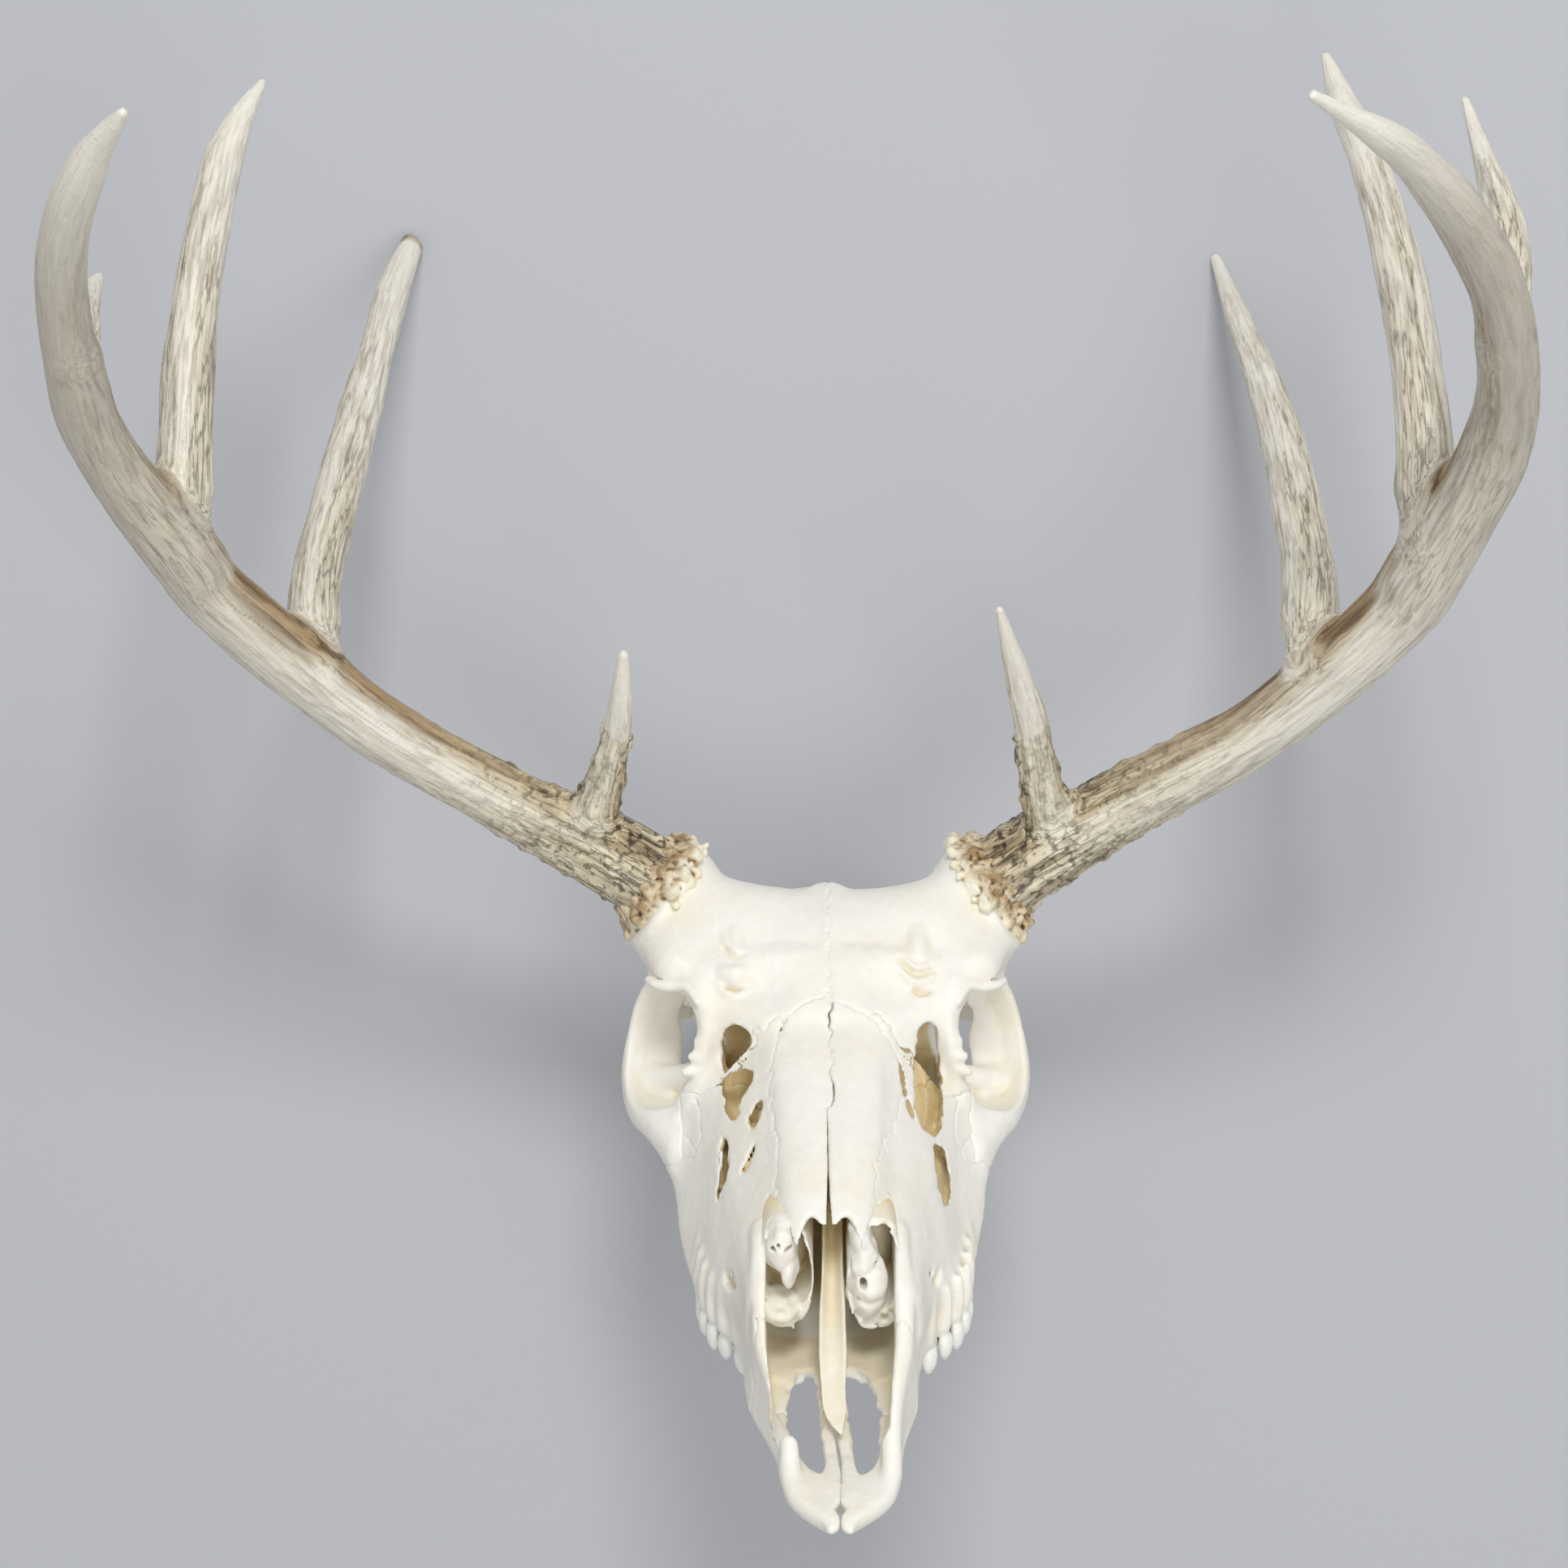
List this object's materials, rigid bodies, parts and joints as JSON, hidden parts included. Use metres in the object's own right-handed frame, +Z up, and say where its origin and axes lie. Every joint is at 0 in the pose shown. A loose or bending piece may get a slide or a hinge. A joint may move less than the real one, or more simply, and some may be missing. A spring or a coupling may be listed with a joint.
{
  "type": "deer skull with antlers",
  "caption": "Bleached white-tailed buck skull with both antlers and no lower jaw, lying face up on the back of its head and two tine tips.",
  "frame": {"origin": "on the resting surface, under the middle of the whole in X and Y", "axes": "+Z up from the resting surface. The nose points to -Y and up, the antlers sweep to +Y, and the animal's own left is +X."},
  "size_m": [0.3834, 0.4022, 0.3192],
  "materials": {
    "bleached_bone": "matt, bleached to an even cream, tan inside the hollows",
    "antler": "dull satin, cream with brown streaks along its length, paler at the tips",
    "pearled_antler": "dull, knobbly, cream on brown"
  },
  "bodies": {
    "root": {"cranium": "bleached_bone", "vomer": "bleached_bone", "maxilla_left": "bleached_bone", "maxilla_right": "bleached_bone", "premaxilla_left": "bleached_bone", "premaxilla_right": "bleached_bone", "nasal_left": "bleached_bone", "nasal_right": "bleached_bone", "turbinate_left": "bleached_bone", "turbinate_right": "bleached_bone", "zygomatic_left": "bleached_bone", "zygomatic_right": "bleached_bone", "beam_left_lower": "antler", "beam_left_middle": "antler", "beam_left_upper": "antler", "beam_right_lower": "antler", "beam_right_middle": "antler", "beam_right_upper": "antler", "tine_left_brow": "antler", "tine_left_second": "antler", "tine_left_third": "antler", "tine_left_fourth": "antler", "tine_right_brow": "antler", "tine_right_second": "antler", "tine_right_third": "antler", "tine_right_fourth": "antler", "burr_left": "pearled_antler", "burr_right": "pearled_antler"}
  },
  "joints": []
}
